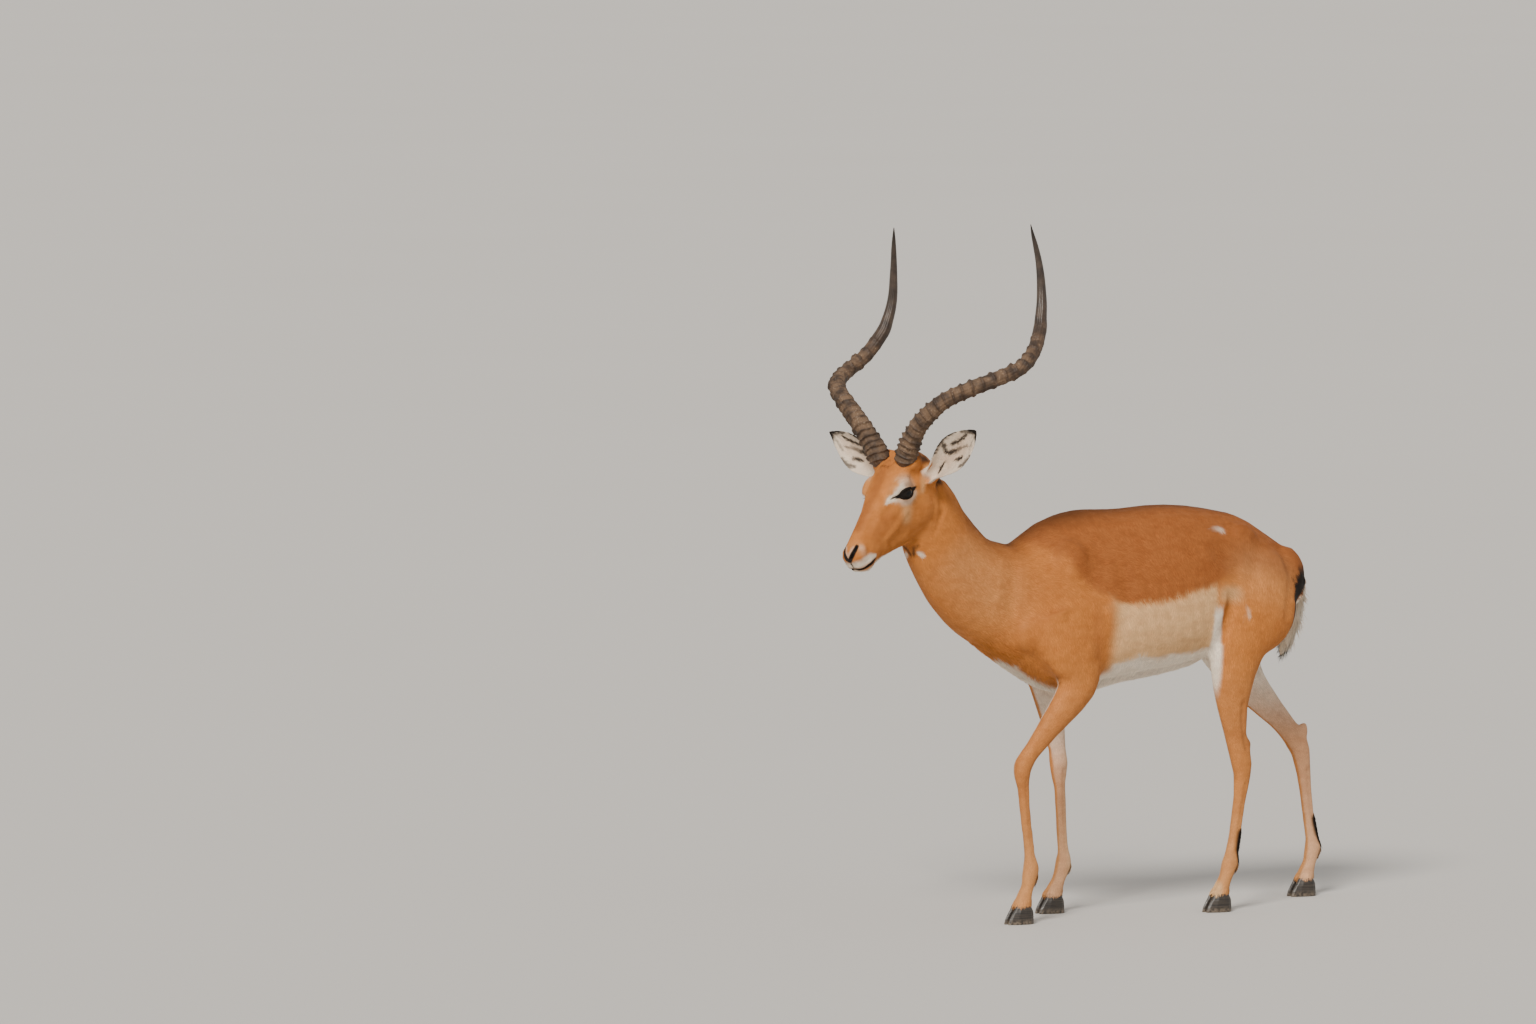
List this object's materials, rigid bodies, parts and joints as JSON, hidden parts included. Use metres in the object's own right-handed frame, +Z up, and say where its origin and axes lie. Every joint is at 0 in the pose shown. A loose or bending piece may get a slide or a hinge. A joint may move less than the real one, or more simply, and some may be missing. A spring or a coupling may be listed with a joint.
{
  "type": "impala antelope",
  "caption": "Life-size adult male impala walking with its head half turned, a still museum-like model with ridged lyre-shaped horns.",
  "frame": {"origin": "middle of the base of the bounding box, at floor level", "axes": "+Z up, -X the way the animal walks, -Y its left side"},
  "size_m": [1.317, 0.4996, 1.463],
  "materials": {
    "coat": "matte",
    "eye": "gloss",
    "horn": "satin",
    "hoof": "satin"
  },
  "bodies": {
    "root": {"head": "coat", "neck": "coat", "trunk": "coat", "tail": "coat", "ear_left": "coat", "ear_right": "coat", "leg_fore_left": "coat", "leg_fore_right": "coat", "leg_hind_left": "coat", "leg_hind_right": "coat", "eye_left": "eye", "eye_right": "eye", "horn_left": "horn", "horn_right": "horn", "hoof_fore_left_a": "hoof", "hoof_fore_left_b": "hoof", "hoof_fore_right_a": "hoof", "hoof_fore_right_b": "hoof", "hoof_hind_left_a": "hoof", "hoof_hind_left_b": "hoof", "hoof_hind_right_a": "hoof", "hoof_hind_right_b": "hoof"}
  },
  "joints": []
}
